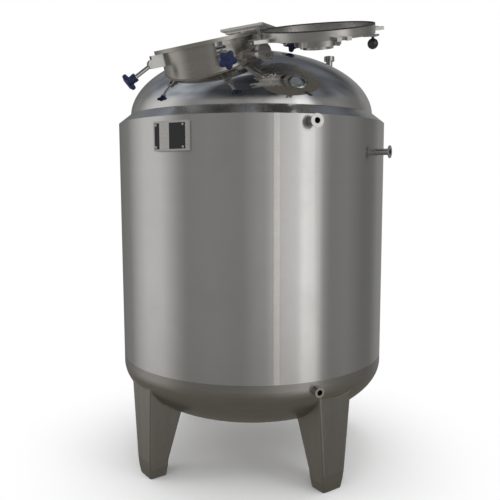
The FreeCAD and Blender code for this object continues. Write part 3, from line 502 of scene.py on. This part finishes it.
def make_star_knob(name, material):
    """Five rounded lobes on a waisted hub, screwed down a swing bolt."""
    joint = JOINTS["knob_spin_" + name]
    turn = Vector(joint["axis"]).to_track_quat("Z", "Y").to_matrix()
    origin = Vector(joint["pos_m"])
    shape = bmesh.new()
    around = 120
    columns = []
    for step in range(around):
        angle = 2 * math.pi * step / around
        lobe = (0.5 + 0.5 * math.cos(5 * angle)) ** 0.62
        column = []
        for radius, height in knob_outline(lobe):
            local = Vector((radius * math.cos(angle), radius * math.sin(angle), height))
            column.append(shape.verts.new(origin + turn @ local))
        columns.append(column)
    for step in range(around):
        first, second = columns[step], columns[(step + 1) % around]
        for low in range(len(first) - 1):
            shape.faces.new((first[low], second[low], second[low + 1], first[low + 1]))
    bmesh.ops.remove_doubles(shape, verts=shape.verts, dist=0.00005)
    bmesh.ops.recalc_face_normals(shape, faces=shape.faces)
    mesh = bpy.data.meshes.new("knob_" + name + "_shape")
    shape.to_mesh(mesh)
    shape.free()
    mesh.polygons.foreach_set("use_smooth", [True] * len(mesh.polygons))
    mesh.set_sharp_from_angle(angle=math.radians(50))
    piece = new_piece("moulded_knob_" + name, mesh, material, "knob_" + name)
    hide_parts("star_knob_" + name)


# ---- weld paths ----------------------------------------------------------------------------
def steps_round(count):
    return [2 * math.pi * step / count for step in range(count)]


def neck_on_head():
    """Where the manway neck meets the head."""
    turn = MANWAY_AXIS.to_track_quat("Z", "Y").to_matrix()
    path = []
    for a in steps_round(240):
        rim = MANWAY_AT + turn @ Vector((NECK_R * math.cos(a), NECK_R * math.sin(a), 0))
        path.append(drop_on_head(rim, -MANWAY_AXIS))
    return path


def drop_on_head(place, direction):
    """Follow a direction from a place until it meets the head's outside."""
    low, high = 0.0, 0.5
    for _ in range(40):
        middle = (low + high) / 2
        at = place + direction * middle
        inside = (at.x ** 2 + at.y ** 2) / HEAD_R ** 2 + ((at.z - HEAD_ROOT) / (HEAD_TOP - HEAD_ROOT)) ** 2
        if inside > 1:
            low = middle
        else:
            high = middle
    return place + direction * low


def post_on_head(x, y, radius):
    """Where an upright round post meets the head."""
    return [drop_on_head(Vector((x + radius * math.cos(a), y + radius * math.sin(a), HEAD_TOP + 0.05)), -UP)
            for a in steps_round(72)]


def nozzle_on_wall(mount):
    """Where a level pipe enters the cladding."""
    out = Vector(MOUNTS[mount]["axis"]).normalized()
    side = UP.cross(out).normalized()
    centre = Vector(MOUNTS[mount]["pos_m"])
    path = []
    for a in steps_round(60):
        across = PIPE_R * math.cos(a)
        reach = math.sqrt(WALL_R ** 2 - across ** 2)
        path.append(out * reach + side * across + UP * (centre.z + PIPE_R * math.sin(a)))
    return path


def dish_radius(z):
    """Outside of the lower head at a height."""
    depth = max(0.0, (WALL_LOW - DISH_SKIRT) - z) / ((WALL_LOW - DISH_SKIRT) - DISH_LOW)
    return DISH_R * math.sqrt(max(0.0, 1 - depth ** 2))


def leg_side(share, z):
    """A point on the leg's outline, a share of the way round, at a height; leg at the front."""
    rise = (z - FOOT_H) / (WALL_LOW - FOOT_H)
    half = (LEG_LOW[0] + (LEG_TOP[0] - LEG_LOW[0]) * rise) / 2
    deep = LEG_LOW[1] + (LEG_TOP[1] - LEG_LOW[1]) * rise
    face = LEG_FACE_LOW + (LEG_FACE_TOP - LEG_FACE_LOW) * rise
    x, y = 2 * half * (share - 0.5), -face
    if share < 0:
        x, y = -half, -face - share * deep
    if share > 1:
        x, y = half, -face + (share - 1) * deep
    return Vector((x, y, z))


def leg_on_dish(azimuth):
    """Where a leg meets the lower head: up one side, across the outer face and down the other."""
    turn = Matrix.Rotation(math.radians(azimuth), 3, "Z")
    path = []
    steps = 120
    for step in range(steps + 1):
        share = -0.98 + 2.96 * step / steps
        low, high = FOOT_H, WALL_LOW
        for _ in range(40):
            middle = (low + high) / 2
            at = leg_side(share, middle)
            if math.hypot(at.x, at.y) > dish_radius(middle):
                low = middle
            else:
                high = middle
        path.append(turn @ leg_side(share, low))
    return path


def weld_tree(material):
    """Ripples laid one over the next along a path; their size and spacing are inputs."""
    tree = bpy.data.node_groups.new("weld_bead", "GeometryNodeTree")
    face = tree.interface
    face.new_socket("Path", in_out="INPUT", socket_type="NodeSocketGeometry")
    face.new_socket("Ripple radius", in_out="INPUT", socket_type="NodeSocketFloat")
    face.new_socket("Ripple spacing", in_out="INPUT", socket_type="NodeSocketFloat")
    face.new_socket("Bead", in_out="OUTPUT", socket_type="NodeSocketGeometry")
    new, link = tree.nodes.new, tree.links.new
    start, end = new("NodeGroupInput"), new("NodeGroupOutput")
    curve = new("GeometryNodeMeshToCurve")
    even = new("GeometryNodeResampleCurve")
    even.mode = "LENGTH"
    ripple = new("GeometryNodeMeshIcoSphere")
    ripple.inputs["Subdivisions"].default_value = 2
    smooth = new("GeometryNodeSetShadeSmooth")
    place = new("GeometryNodeInstanceOnPoints")
    vary = new("FunctionNodeRandomValue")
    vary.data_type = "FLOAT_VECTOR"
    vary.inputs[0].default_value = (0.85, 0.85, 0.85)
    vary.inputs[1].default_value = (1.15, 1.15, 1.15)
    vary.inputs["Seed"].default_value = 11
    real = new("GeometryNodeRealizeInstances")
    paint = new("GeometryNodeSetMaterial")
    paint.inputs["Material"].default_value = material
    link(start.outputs["Path"], curve.inputs["Mesh"])
    link(curve.outputs["Curve"], even.inputs["Curve"])
    link(start.outputs["Ripple spacing"], even.inputs["Length"])
    link(start.outputs["Ripple radius"], ripple.inputs["Radius"])
    link(ripple.outputs["Mesh"], smooth.inputs["Geometry"])
    link(even.outputs["Curve"], place.inputs["Points"])
    link(smooth.outputs["Geometry"], place.inputs["Instance"])
    link(vary.outputs[0], place.inputs["Scale"])
    link(place.outputs["Instances"], real.inputs["Geometry"])
    link(real.outputs["Geometry"], paint.inputs["Geometry"])
    link(paint.outputs["Geometry"], end.inputs["Bead"])
    return tree


def lay_weld(name, path, closed, radius, tree, material):
    """Lay a bead along a path and keep it as a plain mesh."""
    mesh = bpy.data.meshes.new(name + "_path")
    edges = [(i, i + 1) for i in range(len(path) - 1)]
    if closed:
        edges.append((len(path) - 1, 0))
    mesh.from_pydata([tuple(p) for p in path], edges, [])
    guide = bpy.data.objects.new(name + "_guide", mesh)
    bpy.context.scene.collection.objects.link(guide)
    modifier = guide.modifiers.new("bead", "NODES")
    modifier.node_group = tree
    sizes = {"Ripple radius": radius, "Ripple spacing": radius * RIPPLE_SPACING}
    for item in tree.interface.items_tree:
        if item.item_type == "SOCKET" and item.name in sizes:
            modifier[item.identifier] = sizes[item.name]
    graph = bpy.context.evaluated_depsgraph_get()
    bead = bpy.data.meshes.new_from_object(guide.evaluated_get(graph))
    bpy.data.objects.remove(guide)
    new_piece(name, bead, material, "tank")


def lay_welds():
    material = weld_metal()
    tree = weld_tree(material)
    lay_weld("weld_manway_neck", neck_on_head(), True, WELD_MANWAY, tree, material)
    agitator = post_on_head(0.0, 0.0, AGITATOR_NECK_R)
    lay_weld("weld_agitator_neck", agitator, True, WELD_AGITATOR, tree, material)
    clean = Vector(MOUNTS["cleaning_inlet"]["pos_m"])
    cleaning = post_on_head(clean.x, clean.y, CLEANING_PIPE_R)
    lay_weld("weld_cleaning_pipe", cleaning, True, WELD_PIPE, tree, material)
    for mount in ("side_inlet", "jacket_outlet"):
        lay_weld("weld_" + mount, nozzle_on_wall(mount), True, WELD_PIPE, tree, material)
    for index, name in enumerate(LEG_NAMES):
        seam = leg_on_dish(LEG_FIRST_AZ + 90 * index)
        lay_weld("weld_leg_" + name, seam, False, WELD_LEG, tree, material)


def finish_frame_nodes(blue):
    """Give every carried-over node its finish."""
    hinge_axis = Vector(JOINTS["lid_hinge"]["axis"])
    swung = Matrix.Rotation(LID_OPEN, 3, hinge_axis)
    lid_normal = swung @ MANWAY_AXIS
    wall = wall_steel()
    head = mirror_steel("head_mirror_steel")
    shoulder = mirror_steel("shoulder_mirror_steel", 0.16, 0.0006)
    dish = dish_steel()
    leg = leg_steel()
    neck = neck_steel()
    lid = lid_steel(lid_normal)
    plate = plate_steel()
    small = plate_steel("small_fitting_steel", (0.64, 0.63, 0.61), 0.20)
    chosen = {"cladding_wall": wall, "inner_shell": wall, "bottom_head": wall, "cooling_jacket": plate,
              # The seam strip is real, but its near-white colour, far lighter than the wall's steel, is a painted
              # highlight along the lap edge.
              "cladding_seam_strip": plate_steel("seam_strip_painted_highlight", (0.90, 0.88, 0.85), 0.30),
              "top_head": head, "cladding_shoulder": shoulder,
              "cladding_bottom": dish, "base_ring": dish,
              "feet": leg, "manway_neck": neck, "manway_flange": neck, "lid_pan": lid,
              "sight_glass_base": lid,
              "sight_glass_ring": lid, "lid_gasket": seal_rubber(), "lid_ball_knob": ball_plastic(),
              "sight_glass_disc": window_glass(), "nameplate": nameplate_painted_reflection(), "agitator_blank_plate": plate,
              "agitator_pad": plate, "nameplate_bracket": plate}
    fibre = wool()
    for name, node in NODES.items():
        material = chosen.get(name, small)
        if name.startswith("leg_"):
            material = leg
        if name.startswith("star_knob"):
            material = blue
        if "insulation" in name:
            material = fibre
        node.data.materials.clear()
        node.data.materials.append(material)


def main():
    make_studio()
    blue = knob_plastic()
    finish_frame_nodes(blue)
    for name in KNOB_NAMES:
        make_star_knob(name, blue)
    lay_welds()


main()
